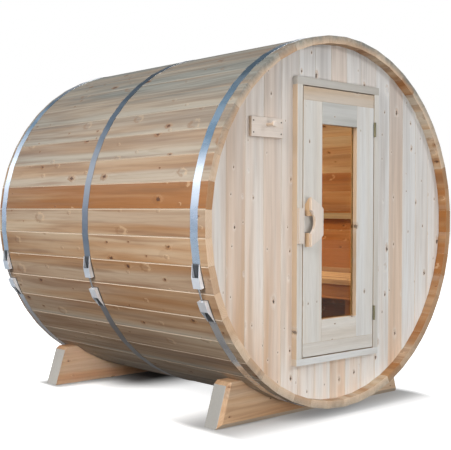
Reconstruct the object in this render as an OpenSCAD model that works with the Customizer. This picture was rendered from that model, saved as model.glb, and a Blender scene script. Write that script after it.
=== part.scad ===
/* [Barrel] */
// Outside diameter of the barrel across the flat stave faces
barrel_d = 1830; // [1500:5:2400]
// Length of the staves from the front rim to the back rim
barrel_l = 1815; // [1400:5:3000]
// Thickness of a stave
stave_t = 38; // [25:1:60]
// Number of staves round the barrel, always even
stave_count = 46; // [36:2:60]
// Bevel on the outer long edges of a stave
stave_bevel = 3; // [0:0.5:6]
// Open joint between neighbouring staves
stave_gap = 0.4; // [0.2:0.1:1]
// Height of the barrel's lowest staves above the ground
ground_gap = 43; // [20:1:200]

/* [End walls] */
// Thickness of the end walls
wall_t = 38; // [25:1:60]
// Distance from a rim back to the face of its end wall
wall_recess = 50; // [20:1:120]
// Depth of the groove in the staves that holds an end wall
croze_depth = 8; // [4:1:14]
// Clearance round an end wall in its groove
croze_clear = 0.5; // [0.3:0.1:2]

/* [Door frame] */
// Sideways place of the doorway's centre, negative is to the left
door_x = -19; // [-60:1:60]
// Height of the door leaf's centre above the barrel's axis
door_z = 4; // [-40:1:40]
// Visible face width of the jambs, the head and the sill
frame_face = 37; // [25:1:60]
// How far the door frame stands proud of the front wall
frame_proud = 32; // [15:1:45]
// How far the door frame runs past the inside of the front wall
frame_inside = 6; // [0:1:30]
// Height of the sill board
sill_h = 33; // [20:1:60]
// Clearance between the door frame and the wall around it
frame_clear = 0.3; // [0.2:0.1:2]
// Width of the door stop strips
stop_w = 14; // [8:1:25]

/* [Door leaf] */
// Width of the door leaf
leaf_w = 530; // [420:1:640]
// Height of the door leaf
leaf_h = 1295; // [1000:1:1500]
// Thickness of the door leaf
leaf_t = 38; // [30:1:50]
// Running gap round the door leaf
leaf_gap = 5; // [5:0.5:8]
// Width of the door's two stiles
stile_w = 134; // [90:1:170]
// Height of the door's outer top and bottom rails
rail_h = 65; // [40:1:100]
// Height of the door's inner rails above and below the glass
inner_rail_h = 107; // [60:1:160]
// Thickness of the door glass
glass_t = 8; // [5:0.5:12]
// How far the glass lies behind the front of the door leaf
glass_set = 25; // [5:1:28]
// How far the glass reaches into the groove in the stiles and rails
glass_hold = 10; // [6:1:20]

/* [Hinges] */
// Height of a hinge
hinge_h = 74; // [50:1:120]
// Height of the hinges above and below the door's centre
hinge_z = 471; // [300:1:560]
// Outside diameter of a hinge knuckle
knuckle_d = 12; // [10:0.5:18]
// Diameter of a hinge pin
hinge_pin_d = 6; // [4:0.5:8]
// Clearance between a hinge pin and the knuckle that turns on it
pin_clear = 0.1; // [0.05:0.01:0.2]
// Thickness of a hinge plate
hinge_plate_t = 2; // [1.5:0.1:3]
// Width of a hinge plate
hinge_plate_w = 30; // [20:1:36]

/* [Handle and latch] */
// Height of the door handle's long side
handle_h = 237; // [160:1:300]
// Height of the door handle's short side
handle_short_h = 125; // [80:1:150]
// Width of the door handle's grip board
handle_w = 85; // [60:1:110]
// Thickness of the grip board
grip_t = 17; // [12:1:30]
// Depth of the two blocks that hold the grip board off the door
standoff_t = 27; // [24:1:50]
// Height of the upper block at the grip board
upper_block_h = 90; // [60:1:100]
// Height of the lower block
lower_block_h = 66; // [50:1:75]
// Depth of the finger hollow in the long side of the grip board
finger_depth = 27; // [15:1:40]
// Height of the finger hollow
finger_h = 112; // [80:1:130]
// Height of the latch keeper on the left jamb
keeper_h = 170; // [80:1:220]
// Depth of the latch keeper
keeper_t = 14; // [8:1:30]

/* [Bands] */
// Width of a steel band
band_w = 51; // [30:1:80]
// Thickness of a steel band
band_t = 1.6; // [1:0.1:3]
// Distance from the front rim to the front edge of the first band
band_front_y = 48; // [20:1:150]
// Distance from the front rim to the front edge of the middle band
band_middle_y = 899; // [700:1:1100]
// Distance from the back rim to the back edge of the last band
band_back_y = 26; // [10:1:150]
// Angle of the band tensioners below the horizontal on the left side
tension_angle = 19.5; // [5:0.5:40]
// Length of one tensioner bracket along the band
bracket_l = 108; // [80:1:150]
// Open length of threaded rod between the two brackets
rod_open = 58; // [30:1:100]
// Diameter of the tensioner rod
rod_d = 8; // [6:1:12]

/* [Cradles] */
// Thickness of a cradle beam
cradle_t = 100; // [60:1:160]
// Height of a cradle's shoulders above the ground
cradle_h = 214; // [160:1:300]
// Width of a cradle along the ground
cradle_base_w = 1364; // [1100:1:1500]
// Width of a cradle between its shoulders
cradle_top_w = 1232; // [1000:1:1360]
// Distance from the front rim to the front cradle
cradle_front_y = 174; // [60:1:500]
// Distance from the back rim to the back cradle
cradle_back_y = 128; // [60:1:500]
// Width of the bevel on the front edges of the front cradle
cradle_bevel = 24; // [4:1:30]

/* [Inside] */
// Height of the bench tops above the barrel's axis, negative is below
bench_z = -320; // [-450:1:-200]
// Distance from the barrel's axis plane to the front edge of a bench
bench_edge_x = 339; // [280:1:450]
// Thickness of the bench slats
slat_t = 28; // [20:1:40]
// Number of slats in a bench
slat_count = 4; // [3:1:6]
// Open gap between two bench slats
slat_gap = 12; // [5:1:25]
// Height of the fascia board under the front edge of a bench
fascia_h = 72; // [50:1:120]
// Height of the backrest rail's centre above the barrel's axis
backrest_z = 27; // [-60:1:120]
// Height of a backrest rail
backrest_h = 36; // [30:1:90]
// Height of the floor's top above the lowest inner face of the barrel
floor_h = 92; // [60:1:200]
// Clearance between inside fittings and the end walls
room_clear = 0.3; // [0.2:0.1:3]

/* [Hooks] */
// Distance from the barrel's axis plane out to the left end of the hook board
hook_x = 613; // [500:1:700]
// Height of the hook board's centre above the barrel's axis
hook_z = 440; // [300:1:560]
// Length of the hook board
hook_l = 205; // [120:1:300]
// Height of the hook board
hook_h = 90; // [60:1:120]
// Thickness of the hook board
hook_t = 18; // [12:1:30]
// Length of the towel peg in front of the hook board
peg_l = 52; // [30:1:80]

/* [Hidden] */
$fn = 64;

pine = "#d9b48a";
pale_pine = "#ddc7ab";
steel = "#aab4c4";
bronze = "#7a6a48";
tinted = "#8a5a2c";

// Barrel section: a regular polygon with one stave per side
outer_r = barrel_d / 2;
axis_h = outer_r + ground_gap;
inner_r = outer_r - stave_t;
stave_angle = 360 / stave_count;
corner = 1 / cos(stave_angle / 2);
handle_out = max(0, standoff_t + grip_t + frame_proud - wall_recess);
front_y = -(barrel_l - handle_out) / 2;
back_y = front_y + barrel_l;
staves_per_side = stave_count / 2;
staves_per_group = 6;

// End walls
front_wall_y = front_y + wall_recess;
back_wall_y = back_y - wall_recess - wall_t;
wall_r = inner_r + croze_depth - croze_clear;
groove_r = inner_r + croze_depth;

// Doorway, seen from the front
open_w = leaf_w + 2 * leaf_gap;
open_h = leaf_h + 2 * leaf_gap;
open_left = door_x - open_w / 2;
open_right = door_x + open_w / 2;
open_bottom = axis_h + door_z - open_h / 2;
open_top = axis_h + door_z + open_h / 2;
frame_left = open_left - frame_face;
frame_right = open_right + frame_face;
frame_bottom = open_bottom - sill_h;
frame_top = open_top + frame_face;
frame_y = front_wall_y - frame_proud;
frame_depth = frame_proud + wall_t + frame_inside;
leaf_left = door_x - leaf_w / 2;
leaf_right = door_x + leaf_w / 2;
leaf_bottom = open_bottom + leaf_gap;
leaf_top = open_top - leaf_gap;
leaf_y = frame_y;
glass_left = leaf_left + stile_w;
glass_right = leaf_right - stile_w;
glass_bottom = leaf_bottom + rail_h + inner_rail_h;
glass_top = leaf_top - rail_h - inner_rail_h;
glass_y = leaf_y + glass_set;
glass_clear = 0.3;
stop_gap = 5;
stop_y = leaf_y + leaf_t + stop_gap;
part_gap = 0.3;

// Hinge line, just in front of the gap on the right of the leaf
hinge_axis_x = leaf_right + leaf_gap / 2;
hinge_axis_y = leaf_y - knuckle_d / 2 - part_gap;
hinge_mid = leaf_bottom + leaf_h / 2;
knuckle_gap = 0.5;

// Door handle, on the left stile
handle_inset = 12;
handle_x = leaf_left + handle_inset;
handle_z = axis_h + door_z;
handle_corner = 16;
block_w = 40;
block_slope = 33;

// Latch keeper, a little below the handle's middle
keeper_drop = 15;
keeper_inset = 1;

// Bands follow the flats of the staves
band_clear = 0.2;
band_in_r = outer_r + band_clear;
band_out_r = band_in_r + band_t;
band_ys = [front_y + band_front_y, front_y + band_middle_y, back_y - band_back_y - band_w];

// Tensioner brackets are folded from plate and each follows the band
plate_t = 3;
foot_t = 5;
bracket_h = 25;
bracket_end_h = 6;
cover_l = 50;
rod_rise = 17;
rod_end = 30;
nut_h = 6;
nut_d = 13.6;
rod_hole_d = rod_d + 2;
nut_gap = 1;

// Clipped upper corners of the cradles, and the bevel at the front one's ends
cradle_clip = 16;
cradle_end_share = 0.75;
cradle_end_bevel = cradle_end_share * cradle_bevel;

// Inside
room_front_y = front_wall_y + wall_t + frame_inside + room_clear;
room_back_y = back_wall_y - room_clear;
room_l = room_back_y - room_front_y;
wall_gap = 8;
fascia_t = 26;
fascia_set = 6;
lip_h = 9;
lip_out = 4;
bearer_t = 38;
bearer_h = 60;
leg_w = 60;
bearer_places = [0.12, 0.5, 0.88];
bearer_ys = [for (place = bearer_places) room_front_y + place * room_l];
backrest_t = 20;
backrest_block = 24;
block_inset = 4;
floor_t = 24;
floor_gap = 8;
floor_count = 5;
floor_top = axis_h - inner_r + floor_h;

// Turned towel peg
peg_rise = 12;
peg_r = 9;
peg_head_r = 14;
peg_head_l = 12;
peg_round = 4;

// Solid polygonal cylinder along the barrel's axis, r measured to the flats
module barrel_prism(r, y0, length)
    translate([0, y0 + length, axis_h])
        rotate([90, 0, 0])
            linear_extrude(length)
                polygon([for (k = [0 : stave_count - 1])
                    let (a = 90 + k * stave_angle) r * corner * [cos(a), sin(a)]]);

// One stave lying at angle zero, its outer face towards +X
module stave_at_zero() {
    half_in = inner_r * tan(stave_angle / 2) - stave_gap / 2;
    half_out = outer_r * tan(stave_angle / 2) - stave_gap / 2;
    bevel_in = stave_bevel * tan(stave_angle / 2);
    difference() {
        translate([0, back_y, 0])
            rotate([90, 0, 0])
                linear_extrude(barrel_l)
                    polygon([[inner_r, -half_in], [outer_r - stave_bevel, -half_out + bevel_in],
                        [outer_r, -half_out + stave_bevel], [outer_r, half_out - stave_bevel],
                        [outer_r - stave_bevel, half_out - bevel_in], [inner_r, half_in]]);
        for (y = [front_wall_y, back_wall_y])
            translate([inner_r - 1, y - croze_clear, -outer_r])
                cube([croze_depth + 1, wall_t + 2 * croze_clear, barrel_d]);
    }
}

// Stave number k of one side, counted from the bottom; side is -1 left, 1 right
module stave(side, k)
    translate([0, 0, axis_h])
        rotate([0, 90 - side * (k + 0.5) * stave_angle, 0])
            stave_at_zero();

// A group of neighbouring staves on one side, counted from the bottom
module stave_group(side, group) {
    first = (group - 1) * staves_per_group;
    last = min(first + staves_per_group, staves_per_side) - 1;
    color(pine)
        for (k = [first : last])
            stave(side, k);
}

// Disc of one end wall
module wall_disc(y)
    barrel_prism(wall_r, y, wall_t);

// Piece of the front wall inside the box between two corners
module front_wall_piece(x0, x1, z0, z1)
    color(pale_pine)
        intersection() {
            wall_disc(front_wall_y);
            translate([x0, front_wall_y - 1, z0])
                cube([x1 - x0, wall_t + 2, z1 - z0]);
        }

module front_wall_left()
    front_wall_piece(-outer_r, frame_left - frame_clear, 0, 2 * axis_h);

module front_wall_right()
    front_wall_piece(frame_right + frame_clear, outer_r, 0, 2 * axis_h);

module front_wall_over_door()
    front_wall_piece(frame_left - frame_clear + part_gap, frame_right + frame_clear - part_gap,
        frame_top + frame_clear, 2 * axis_h);

module front_wall_under_door()
    front_wall_piece(frame_left - frame_clear + part_gap, frame_right + frame_clear - part_gap,
        0, frame_bottom - frame_clear);

module back_wall()
    color(pale_pine) wall_disc(back_wall_y);

// Steel band round the staves, open between the two brackets of its tensioner
module band(index)
    color(steel)
        difference() {
            barrel_prism(band_out_r, band_ys[index], band_w);
            barrel_prism(band_in_r, band_ys[index] - 1, band_w + 2);
            translate([0, band_ys[index] - 1, axis_h])
                rotate([0, 180 - tension_angle, 0])
                    translate([0, 0, -rod_open / 2])
                        cube([barrel_d, band_w + 2, rod_open]);
        }

// One bracket of a tensioner, its rod end at height zero, lying on the rightmost
// side of the barrel
module tension_bracket() {
    difference() {
        union() {
            translate([outer_r - foot_t, 0, 0])
                cube([2 * foot_t, band_w, bracket_l]);
            translate([outer_r, 0, 0])
                cube([bracket_h, band_w, plate_t]);
            translate([outer_r + bracket_h - plate_t, 0, 0])
                cube([plate_t, band_w, cover_l]);
            for (y = [plate_t, band_w])
                translate([outer_r, y, 0])
                    rotate([90, 0, 0])
                        linear_extrude(plate_t)
                            polygon([[0, 0], [bracket_h, 0], [bracket_h, cover_l],
                                [bracket_end_h, bracket_l], [0, bracket_l]]);
        }
        translate([outer_r + rod_rise, band_w / 2, -1])
            cylinder(d = rod_hole_d, h = cover_l);
    }
}

// Tensioner: two brackets and a threaded rod with a nut behind each, built at
// the rightmost side of the barrel and turned to its place on the left
module tensioner_at_zero() {
    rod_r = outer_r + rod_rise;
    lean = asin((rod_open + bracket_l) / 2 / outer_r);
    nut_z = rod_r * sin(lean) - (bracket_l / 2 - plate_t) * cos(lean) + nut_gap;
    for (s = [0, 1])
        mirror([0, 0, s]) {
            rotate([0, -lean, 0])
                translate([0, 0, -bracket_l / 2])
                    tension_bracket();
            translate([rod_r, band_w / 2, nut_z])
                cylinder(d = nut_d, h = nut_h, $fn = 6);
        }
    translate([rod_r, band_w / 2, -rod_open / 2 - rod_end])
        cylinder(d = rod_d, h = rod_open + 2 * rod_end);
}

module tensioner(index)
    color(steel)
        difference() {
            translate([0, band_ys[index], axis_h])
                rotate([0, 180 - tension_angle, 0])
                    tensioner_at_zero();
            barrel_prism(band_out_r + part_gap, band_ys[index] - 1, band_w + 2);
        }

// Upright board from one corner to the other
module board(x0, x1, y0, y1, z0, z1)
    translate([x0, y0, z0])
        cube([x1 - x0, y1 - y0, z1 - z0]);

module door_jamb(x0)
    color(pale_pine)
        board(x0, x0 + frame_face, frame_y, frame_y + frame_depth, open_bottom, open_top);

module door_head()
    color(pale_pine)
        board(frame_left, frame_right, frame_y, frame_y + frame_depth, open_top, frame_top);

module door_sill()
    color(pale_pine)
        board(frame_left, frame_right, frame_y, frame_y + frame_depth, frame_bottom, open_bottom);

// Strips behind the leaf that it closes against
module door_stops()
    color(pale_pine) {
        back = frame_y + frame_depth;
        board(open_left, open_left + stop_w, stop_y, back, open_bottom, open_top);
        board(open_right - stop_w, open_right, stop_y, back, open_bottom, open_top);
        board(open_left + stop_w + part_gap, open_right - stop_w - part_gap, stop_y, back,
            open_top - stop_w, open_top);
    }

// Groove that holds the glass, cut from a stile or a rail
module glass_groove()
    board(glass_left - glass_hold - 1, glass_right + glass_hold + 1, glass_y - glass_clear,
        glass_y + glass_t + glass_clear, glass_bottom - glass_hold - 1,
        glass_top + glass_hold + 1);

module door_stile(x0)
    color(pale_pine)
        difference() {
            board(x0, x0 + stile_w, leaf_y, leaf_y + leaf_t, leaf_bottom + rail_h,
                leaf_top - rail_h);
            glass_groove();
        }

module door_outer_rail(z0)
    color(pale_pine)
        board(leaf_left, leaf_right, leaf_y, leaf_y + leaf_t, z0, z0 + rail_h);

module door_inner_rail(z0)
    color(pale_pine)
        difference() {
            board(glass_left, glass_right, leaf_y, leaf_y + leaf_t, z0, z0 + inner_rail_h);
            glass_groove();
        }

module door_glass()
    color(tinted)
        board(glass_left - glass_hold, glass_right + glass_hold, glass_y, glass_y + glass_t,
            glass_bottom - glass_hold, glass_top + glass_hold);

// Outline of the door pull, drawn with its long side on the left
module handle_outline() {
    corner_x = handle_w - handle_corner;
    corner_z = handle_short_h / 2 + handle_corner;
    polygon([[0, -handle_h / 2], [corner_x, -corner_z], [handle_w, -handle_short_h / 2],
        [handle_w, handle_short_h / 2], [corner_x, corner_z], [0, handle_h / 2]]);
}

// Bow-shaped grip board of the door pull, with a finger hollow in its long side
module door_handle_grip() {
    hollow_r = (pow(finger_h / 2, 2) + pow(finger_depth, 2)) / (2 * finger_depth);
    color(pine)
        translate([handle_x, leaf_y - standoff_t, handle_z])
            rotate([90, 0, 0])
                linear_extrude(grip_t)
                    difference() {
                        handle_outline();
                        translate([finger_depth - hollow_r, 0])
                            circle(r = hollow_r);
                    }
}

// Two blocks that hold the grip board off the leaf, the upper one sloped on top
module door_handle_blocks() {
    half = handle_h / 2;
    color(pine)
        translate([handle_x, leaf_y, handle_z])
            intersection() {
                rotate([90, 0, 0])
                    linear_extrude(standoff_t)
                        handle_outline();
                union() {
                    rotate([90, 0, 90])
                        linear_extrude(block_w)
                            polygon([[0, half - upper_block_h],
                                [-standoff_t, half - upper_block_h], [-standoff_t, half],
                                [0, half - block_slope]]);
                    translate([0, -standoff_t, -half])
                        cube([block_w, standoff_t, lower_block_h]);
                }
            }
}

module latch_keeper()
    color(pale_pine)
        board(frame_left + keeper_inset, open_left - keeper_inset, frame_y - keeper_t, frame_y,
            axis_h - keeper_drop - keeper_h / 2, axis_h - keeper_drop + keeper_h / 2);

// Halves of the two hinges that stay on the jamb, with their pins
module hinges_on_frame() {
    third = hinge_h / 3;
    color(bronze)
        for (z = [-hinge_z, hinge_z])
            translate([hinge_axis_x, hinge_axis_y, hinge_mid + z - hinge_h / 2]) {
                for (z1 = [0, 2 * third + knuckle_gap / 2]) {
                    translate([0, 0, z1])
                        cylinder(d = knuckle_d, h = third - knuckle_gap / 2);
                    translate([leaf_gap / 2 - hinge_plate_t, 0, z1])
                        cube([hinge_plate_t, knuckle_d / 2 + 1, third - knuckle_gap / 2]);
                }
                cylinder(d = hinge_pin_d, h = hinge_h);
                translate([leaf_gap / 2 - hinge_plate_t, knuckle_d / 2 + 2 * part_gap, 0])
                    cube([hinge_plate_t, hinge_plate_w, hinge_h]);
            }
}

// Halves of the two hinges that turn with the leaf
module hinges_on_door() {
    tab_h = hinge_h / 3 - knuckle_gap;
    color(bronze)
        for (z = [-hinge_z, hinge_z])
            translate([hinge_axis_x, hinge_axis_y, hinge_mid + z])
                difference() {
                    union() {
                        cylinder(d = knuckle_d, h = tab_h, center = true);
                        translate([-leaf_gap / 2, 0, -tab_h / 2])
                            cube([hinge_plate_t, knuckle_d / 2 + 1, tab_h]);
                        translate([-leaf_gap / 2, knuckle_d / 2 + 2 * part_gap, -hinge_h / 2])
                            cube([hinge_plate_t, hinge_plate_w, hinge_h]);
                    }
                    cylinder(d = hinge_pin_d + 2 * pin_clear, h = hinge_h / 2, center = true);
                }
}

// Board on the front wall with one turned wooden peg
module towel_hook()
    color(pine) {
        board(-hook_x, -hook_x + hook_l, front_wall_y - hook_t, front_wall_y,
            axis_h + hook_z - hook_h / 2, axis_h + hook_z + hook_h / 2);
        translate([-hook_x + hook_l / 2, front_wall_y - hook_t - peg_l,
            axis_h + hook_z + peg_rise])
            rotate([-90, 0, 0])
                rotate_extrude()
                    polygon([[0, 0], [peg_head_r - peg_round, 0], [peg_head_r, peg_round],
                        [peg_head_r, peg_head_l], [peg_r, peg_head_l + peg_round],
                        [peg_r, peg_l + 1], [0, peg_l + 1]]);
    }

// Half width of the barrel's inside at a height above its axis
function room_half(z) = sqrt(pow(inner_r, 2) - pow(z, 2));

// Slats and front fascia of one bench; side is -1 left, 1 right
module bench(side) {
    depth = room_half(bench_z - slat_t) - wall_gap - bench_edge_x;
    slat_w = (depth - (slat_count - 1) * slat_gap) / slat_count;
    fascia_z = axis_h + bench_z - slat_t - fascia_h;
    color(pine)
        mirror([side < 0 ? 1 : 0, 0, 0]) {
            for (i = [0 : slat_count - 1])
                translate([bench_edge_x + i * (slat_w + slat_gap), room_front_y,
                    axis_h + bench_z - slat_t])
                    cube([slat_w, room_l, slat_t]);
            board(bench_edge_x + fascia_set, bench_edge_x + fascia_set + fascia_t,
                room_front_y, room_back_y, fascia_z, fascia_z + fascia_h - part_gap);
            board(bench_edge_x + fascia_set - lip_out, bench_edge_x + fascia_set + fascia_t,
                room_front_y, room_back_y, fascia_z - lip_h, fascia_z);
        }
}

// Bearers under the slats with a leg each, standing in the round of the staves
module bench_supports() {
    x0 = bench_edge_x + fascia_set + fascia_t + part_gap;
    z1 = axis_h + bench_z - slat_t - part_gap;
    color(pine)
        for (side = [0, 1], y = bearer_ys)
            mirror([side, 0, 0])
                difference() {
                    translate([0, y - bearer_t / 2, 0]) {
                        board(x0, outer_r, 0, bearer_t, z1 - bearer_h, z1);
                        board(x0, x0 + leg_w, 0, bearer_t, axis_h - outer_r, z1);
                    }
                    room_outside(bearer_t + 2, y - bearer_t / 2 - 1);
                }
}

// All that lies outside the round of the room, to trim what meets the staves
module room_outside(length, y0)
    difference() {
        translate([-barrel_d, y0, axis_h - barrel_d])
            cube([2 * barrel_d, length, 2 * barrel_d]);
        barrel_prism(inner_r - part_gap, y0 - 1, length + 2);
    }

// Backrest rails on blocks against the staves
module backrests() {
    x1 = room_half(abs(backrest_z) + backrest_h / 2) - backrest_block - part_gap;
    z0 = axis_h + backrest_z - backrest_h / 2;
    color(pine)
        for (side = [0, 1])
            mirror([side, 0, 0]) {
                board(x1 - backrest_t, x1, room_front_y, room_back_y, z0, z0 + backrest_h);
                for (y = bearer_ys)
                    difference() {
                        board(x1 - 1, outer_r, y - bearer_t / 2, y + bearer_t / 2,
                            z0 + block_inset, z0 + backrest_h - block_inset);
                        room_outside(bearer_t + 2, y - bearer_t / 2 - 1);
                    }
            }
}

// Boards of the duckboard floor
module floor_boards() {
    half = room_half(inner_r - floor_h + floor_t) - wall_gap;
    pitch = (2 * half + floor_gap) / floor_count;
    color(pine)
        for (i = [0 : floor_count - 1])
            board(-half + i * pitch, -half + (i + 1) * pitch - floor_gap, room_front_y,
                room_back_y, floor_top - floor_t, floor_top);
}

// Cross bearers of the floor, rounded to lie on the staves
module floor_bearers()
    color(pine)
        for (y = bearer_ys)
            difference() {
                half = room_half(inner_r - floor_h + floor_t) - wall_gap;
                board(-half, half, y - bearer_t / 2, y + bearer_t / 2, axis_h - outer_r,
                    floor_top - floor_t - part_gap);
                room_outside(bearer_t + 2, y - bearer_t / 2 - 1);
            }

// Beam across the ground, cut to the round of the barrel
module cradle(y0) {
    slope = (cradle_base_w - cradle_top_w) / 2 / cradle_h;
    clip_x = cradle_top_w / 2 + slope * cradle_clip;
    color(pine)
        difference() {
            translate([0, y0 + cradle_t, 0])
                rotate([90, 0, 0])
                    linear_extrude(cradle_t)
                        polygon([[-cradle_base_w / 2, 0], [cradle_base_w / 2, 0],
                            [clip_x, cradle_h - cradle_clip],
                            [cradle_top_w / 2 - cradle_clip, cradle_h],
                            [cradle_clip - cradle_top_w / 2, cradle_h],
                            [-clip_x, cradle_h - cradle_clip]]);
            barrel_prism(outer_r + part_gap, y0 - 1, cradle_t + 2);
        }
}

// Square bar turned on its edge, to cut a bevel along the X axis below and in
// front of it
module bevel_cutter(length, width) {
    side = 4 * width;
    rotate([-45, 0, 0])
        translate([0, 0, width / sqrt(2) - side / 2])
            cube([length, side, side], center = true);
}

// Front cradle, bevelled along the bottom and the two ends of its front face
module front_cradle(y0) {
    end_angle = atan(cradle_h / ((cradle_base_w - cradle_top_w) / 2));
    difference() {
        cradle(y0);
        translate([0, y0, 0])
            bevel_cutter(2 * cradle_base_w, cradle_bevel);
        for (s = [0, 1])
            mirror([s, 0, 0])
                translate([-cradle_base_w / 2, y0, 0])
                    rotate([0, -end_angle, 0])
                        mirror([0, 0, 1])
                            bevel_cutter(4 * cradle_h, cradle_end_bevel);
    }
}

stave_group(-1, 1);  // staves_left_1
stave_group(-1, 2);  // staves_left_2
stave_group(-1, 3);  // staves_left_3
stave_group(-1, 4);  // staves_left_4
stave_group(1, 1);  // staves_right_1
stave_group(1, 2);  // staves_right_2
stave_group(1, 3);  // staves_right_3
stave_group(1, 4);  // staves_right_4
front_wall_left();
front_wall_right();
front_wall_over_door();
front_wall_under_door();
back_wall();
band(0);  // band_front
band(1);  // band_middle
band(2);  // band_back
tensioner(0);  // tensioner_front
tensioner(1);  // tensioner_middle
tensioner(2);  // tensioner_back
door_jamb(frame_left);  // door_jamb_left
door_jamb(open_right);  // door_jamb_right
door_head();
door_sill();
door_stops();
door_stile(leaf_left);  // door_stile_left
door_stile(glass_right);  // door_stile_right
door_outer_rail(leaf_top - rail_h);  // door_top_rail
door_inner_rail(glass_top);  // door_upper_rail
door_inner_rail(glass_bottom - inner_rail_h);  // door_lower_rail
door_outer_rail(leaf_bottom);  // door_bottom_rail
door_glass();
door_handle_grip();
door_handle_blocks();
latch_keeper();
hinges_on_frame();
hinges_on_door();
towel_hook();
bench(-1);  // bench_left
bench(1);  // bench_right
bench_supports();
backrests();
floor_boards();
floor_bearers();
front_cradle(front_y + cradle_front_y);  // cradle_front
cradle(back_y - cradle_back_y - cradle_t);  // cradle_back
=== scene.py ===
import math
import random

import bmesh
import bpy
from mathutils import Matrix, Vector


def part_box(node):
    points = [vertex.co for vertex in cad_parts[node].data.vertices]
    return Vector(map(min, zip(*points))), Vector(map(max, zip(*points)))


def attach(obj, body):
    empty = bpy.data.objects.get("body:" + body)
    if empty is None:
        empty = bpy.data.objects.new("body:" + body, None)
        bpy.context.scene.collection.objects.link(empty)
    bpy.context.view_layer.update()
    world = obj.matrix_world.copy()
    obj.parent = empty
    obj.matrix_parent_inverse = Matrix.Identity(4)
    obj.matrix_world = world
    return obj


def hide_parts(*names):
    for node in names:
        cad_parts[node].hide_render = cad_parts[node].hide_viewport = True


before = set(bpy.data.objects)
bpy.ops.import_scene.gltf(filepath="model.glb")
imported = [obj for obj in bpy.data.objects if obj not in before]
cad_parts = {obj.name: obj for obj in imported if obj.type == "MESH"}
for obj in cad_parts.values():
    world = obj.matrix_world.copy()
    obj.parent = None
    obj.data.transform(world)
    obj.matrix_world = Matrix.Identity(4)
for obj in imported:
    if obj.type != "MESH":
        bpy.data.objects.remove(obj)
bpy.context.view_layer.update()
print("frame loaded,", len(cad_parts), "nodes")

# main sizes of the barrel in metres, as in the part's own source
barrel = {
    "outerRadius": 0.915,
    "innerRadius": 0.877,
    "axisHeight": 0.958,
    "staves": 46,
}
staveAngle = 2 * math.pi / barrel["staves"]
axisPoint = Vector((0, 0, barrel["axisHeight"]))
axes = {"X": Vector((1, 0, 0)), "Y": Vector((0, 1, 0)), "Z": Vector((0, 0, 1))}

# camera, floor and light

studio = {
    # the camera's roll is in radians and its lens in millimetres
    "cameraPlace": (-3.3633, -3.7247, 1.0148),
    "cameraAim": (0.6715, 0.7410, -0.0163),
    "cameraRoll": 0.0033,
    "lens": 70.15,
    "skyStrength": 0.4,
    "skyTint": (0.93, 0.97, 1.0),
    "skyFade": (-0.15, 0.25, 0.3),  # the mirrored sky fades from here to here, to the right, down to this
    "floorSize": 20,
    "floorTone": 0.14,  # what the floor throws back at the barrel
    "floorSeenTone": (0.30, 0.95),  # how the camera sees it, in the painted shade under the barrel and far from it
    "floorGlow": 0.84,  # its own light, outside the parts with painted shade
    "floorPaintedShade": (-0.22, 0.16, 0.42),  # painted shade under the barrel: left end, depth in front of the back cradle, soft edge
    "floorPaintedContactShade": (0.18, 0.44),  # painted shade round the cradles' feet: brightness at a foot and how far it reaches
    "paintedShadeShapes": ((4, 1, 0), (7, 3, 0)),  # the painted shade's reach is divided by these, at the front and back cradle
    "floorMirror": (0.16, 0.50),  # what polished metal sees of the floor, near and far
    "mirrorReach": (1.5, 2.7),  # where near ends and far begins, from the middle
    "mirrorTints": ((0.95, 0.86, 0.80), (0.62, 0.80, 1.0)),
}

lamps = {
    # place, point that it faces, size, watts, colour, spread in degrees
    "lampFront": ((-1.0, -4.3, 0.2), (-0.1, -0.8, 0.6), (3.0, 1.0), 91, (1.0, 0.985, 0.97), 180),
    "lampRight": ((2.5, -5.3, 3.5), (0, -0.8, 0.9), (1.2, 1.2), 79, (1.0, 0.99, 0.975), 180),
    "lampBack": ((3.2, 6.4, 1.5), (0.3, 0.5, 0.8), (2.0, 2.0), 130, (0.99, 0.99, 1.0), 180),
    "lampSide": ((-5.3, -1.7, 3.6), (-0.4, 0, 1.1), (2.4, 2.4), 268, (1.0, 0.97, 0.94), 180),
    # the back cradle's end, under the barrel's edge
    "lampLow": ((-3.2, -3.9, 0.4), (-0.78, 0.5, 0.05), (0.4, 0.3), 0.42, (1.0, 0.96, 0.92), 8),
    # inside the room, over the bench and under the top staves
    "lampBench": ((-0.2, 0.0, 1.15), (0.5, 0.1, 0.45), (0.5, 0.2), 1.1, (1.0, 0.84, 0.62), 90),
    "lampRoom": ((-0.08, 0.1, 1.64), (0.45, 0.1, 0.8), (1.1, 0.3), 13, (1.0, 0.93, 0.82), 180),
}

# what polished metal reflects, from the ground up to the zenith: height, colour
reflectedSky = [
    (0.0, (0.10, 0.09, 0.09)), (0.46, (0.16, 0.15, 0.15)), (0.51, (0.50, 0.60, 0.76)),
    (0.60, (0.80, 0.88, 1.0)), (0.655, (1.9, 1.95, 2.0)), (0.70, (1.1, 1.2, 1.35)),
    (0.75, (0.22, 0.36, 0.50)), (0.9, (0.25, 0.34, 0.41)), (1.0, (0.42, 0.45, 0.47)),
]


def makeCamera(values):
    data = bpy.data.cameras.new("camera")
    data.lens = values["lens"]
    data.sensor_width = 36
    data.sensor_fit = "HORIZONTAL"
    data.clip_end = 100
    cameraObject = bpy.data.objects.new("camera", data)
    bpy.context.scene.collection.objects.link(cameraObject)
    aim = Vector(values["cameraAim"]).to_track_quat("-Z", "Y").to_matrix().to_4x4()
    roll = Matrix.Rotation(values["cameraRoll"], 4, "Z")
    cameraObject.matrix_world = Matrix.Translation(values["cameraPlace"]) @ aim @ roll
    bpy.context.scene.camera = cameraObject


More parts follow.
